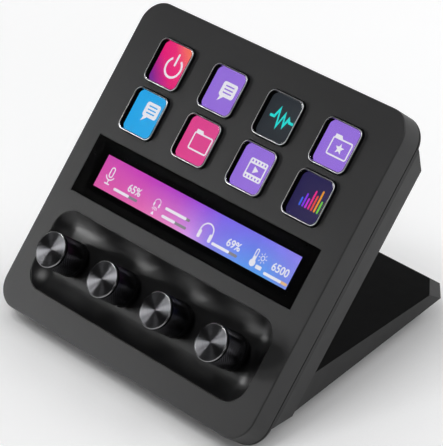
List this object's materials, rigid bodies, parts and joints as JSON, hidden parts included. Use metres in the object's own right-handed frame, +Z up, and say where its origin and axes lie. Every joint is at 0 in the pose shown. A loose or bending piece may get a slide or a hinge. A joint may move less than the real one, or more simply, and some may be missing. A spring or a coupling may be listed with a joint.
{
  "type": "macro keypad with dials",
  "caption": "Desk keypad on a wedge stand: picture keys in two rows, a lit strip with its own glass, and a glossy tray of push-and-turn dials.",
  "frame": {"origin": "on the desk under the middle of the object's bounding box", "axes": "+X to the user's right, +Y away from the user towards the stand's rear, +Z up"},
  "size_m": [0.14, 0.1331, 0.1098],
  "materials": {
    "cover_plastic": "fine satin texture",
    "housing_plastic": "fine matte texture",
    "tray_gloss": "high gloss",
    "key_black": "gloss",
    "key_clear": "clear, polished",
    "silicone": "matte",
    "display_glass": "lit display face, drawn with abstract pictures in the visual model",
    "strip_glass": "polished, tinted",
    "frame_metal": "plain sheet",
    "screw_steel": "dark plated",
    "shaft_steel": "turned",
    "encoder_black": "moulded",
    "knob_metal": "anodised, fine straight knurl",
    "knob_face": "spun face with a bright chamfer",
    "board": "solder mask",
    "link_amber": "film",
    "ballast_steel": "zinc plated",
    "sole_rubber": "matte"
  },
  "bodies": {
    "base": {"front_cover": "cover_plastic", "spring_mat": "silicone", "key_display": "display_glass", "strip_glass": "strip_glass", "strip_gasket": "silicone", "strip_display": "display_glass", "display_frame": "frame_metal", "frame_screws": "screw_steel", "dial_tray": "tray_gloss", "encoder_body_1": "encoder_black", "encoder_body_2": "encoder_black", "encoder_body_3": "encoder_black", "encoder_body_4": "encoder_black", "main_board": "board", "dial_board": "board", "board_components": "encoder_black", "flat_links": "link_amber", "board_screws": "screw_steel", "usb_socket": "shaft_steel", "rear_housing": "housing_plastic", "case_screws": "screw_steel", "stand": "housing_plastic", "stand_screws": "screw_steel", "base_cover": "housing_plastic", "base_screws": "screw_steel", "ballast_plate": "ballast_steel", "rubber_sole": "sole_rubber"},
    "key_1": {"key_frame_1": "key_black", "key_lens_1": "key_clear"},
    "key_2": {"key_frame_2": "key_black", "key_lens_2": "key_clear"},
    "key_3": {"key_frame_3": "key_black", "key_lens_3": "key_clear"},
    "key_4": {"key_frame_4": "key_black", "key_lens_4": "key_clear"},
    "key_5": {"key_frame_5": "key_black", "key_lens_5": "key_clear"},
    "key_6": {"key_frame_6": "key_black", "key_lens_6": "key_clear"},
    "key_7": {"key_frame_7": "key_black", "key_lens_7": "key_clear"},
    "key_8": {"key_frame_8": "key_black", "key_lens_8": "key_clear"},
    "dial_1_rotor": {"encoder_rotor_1": "encoder_black"},
    "dial_1": {"encoder_shaft_1": "shaft_steel", "knob_1": "knob_metal", "knob_cap_1": "knob_face"},
    "dial_2_rotor": {"encoder_rotor_2": "encoder_black"},
    "dial_2": {"encoder_shaft_2": "shaft_steel", "knob_2": "knob_metal", "knob_cap_2": "knob_face"},
    "dial_3_rotor": {"encoder_rotor_3": "encoder_black"},
    "dial_3": {"encoder_shaft_3": "shaft_steel", "knob_3": "knob_metal", "knob_cap_3": "knob_face"},
    "dial_4_rotor": {"encoder_rotor_4": "encoder_black"},
    "dial_4": {"encoder_shaft_4": "shaft_steel", "knob_4": "knob_metal", "knob_cap_4": "knob_face"}
  },
  "joints": [
    {"name": "key_1_press", "type": "slide", "parent": "base", "child": "key_1", "axis": [0, 0.7727, -0.6347], "range_m": [0, 0.0008], "stiffness_N_per_m": 400, "springref_m": -0.0004},
    {"name": "key_2_press", "type": "slide", "parent": "base", "child": "key_2", "axis": [0, 0.7727, -0.6347], "range_m": [0, 0.0008], "stiffness_N_per_m": 400, "springref_m": -0.0004},
    {"name": "key_3_press", "type": "slide", "parent": "base", "child": "key_3", "axis": [0, 0.7727, -0.6347], "range_m": [0, 0.0008], "stiffness_N_per_m": 400, "springref_m": -0.0004},
    {"name": "key_4_press", "type": "slide", "parent": "base", "child": "key_4", "axis": [0, 0.7727, -0.6347], "range_m": [0, 0.0008], "stiffness_N_per_m": 400, "springref_m": -0.0004},
    {"name": "key_5_press", "type": "slide", "parent": "base", "child": "key_5", "axis": [0, 0.7727, -0.6347], "range_m": [0, 0.0008], "stiffness_N_per_m": 400, "springref_m": -0.0004},
    {"name": "key_6_press", "type": "slide", "parent": "base", "child": "key_6", "axis": [0, 0.7727, -0.6347], "range_m": [0, 0.0008], "stiffness_N_per_m": 400, "springref_m": -0.0004},
    {"name": "key_7_press", "type": "slide", "parent": "base", "child": "key_7", "axis": [0, 0.7727, -0.6347], "range_m": [0, 0.0008], "stiffness_N_per_m": 400, "springref_m": -0.0004},
    {"name": "key_8_press", "type": "slide", "parent": "base", "child": "key_8", "axis": [0, 0.7727, -0.6347], "range_m": [0, 0.0008], "stiffness_N_per_m": 400, "springref_m": -0.0004},
    {"name": "dial_1_turn", "type": "hinge", "parent": "base", "child": "dial_1_rotor", "pos_m": [-0.04485, -0.04911, 0.02929], "axis": [0, -0.7727, 0.6347], "continuous": true},
    {"name": "dial_1_press", "type": "slide", "parent": "dial_1_rotor", "child": "dial_1", "axis": [0, 0.7727, -0.6347], "range_m": [0, 0.0005], "stiffness_N_per_m": 3000, "springref_m": -0.0003},
    {"name": "dial_2_turn", "type": "hinge", "parent": "base", "child": "dial_2_rotor", "pos_m": [-0.01495, -0.04911, 0.02929], "axis": [0, -0.7727, 0.6347], "continuous": true},
    {"name": "dial_2_press", "type": "slide", "parent": "dial_2_rotor", "child": "dial_2", "axis": [0, 0.7727, -0.6347], "range_m": [0, 0.0005], "stiffness_N_per_m": 3000, "springref_m": -0.0003},
    {"name": "dial_3_turn", "type": "hinge", "parent": "base", "child": "dial_3_rotor", "pos_m": [0.01495, -0.04911, 0.02929], "axis": [0, -0.7727, 0.6347], "continuous": true},
    {"name": "dial_3_press", "type": "slide", "parent": "dial_3_rotor", "child": "dial_3", "axis": [0, 0.7727, -0.6347], "range_m": [0, 0.0005], "stiffness_N_per_m": 3000, "springref_m": -0.0003},
    {"name": "dial_4_turn", "type": "hinge", "parent": "base", "child": "dial_4_rotor", "pos_m": [0.04485, -0.04911, 0.02929], "axis": [0, -0.7727, 0.6347], "continuous": true},
    {"name": "dial_4_press", "type": "slide", "parent": "dial_4_rotor", "child": "dial_4", "axis": [0, 0.7727, -0.6347], "range_m": [0, 0.0005], "stiffness_N_per_m": 3000, "springref_m": -0.0003}
  ]
}
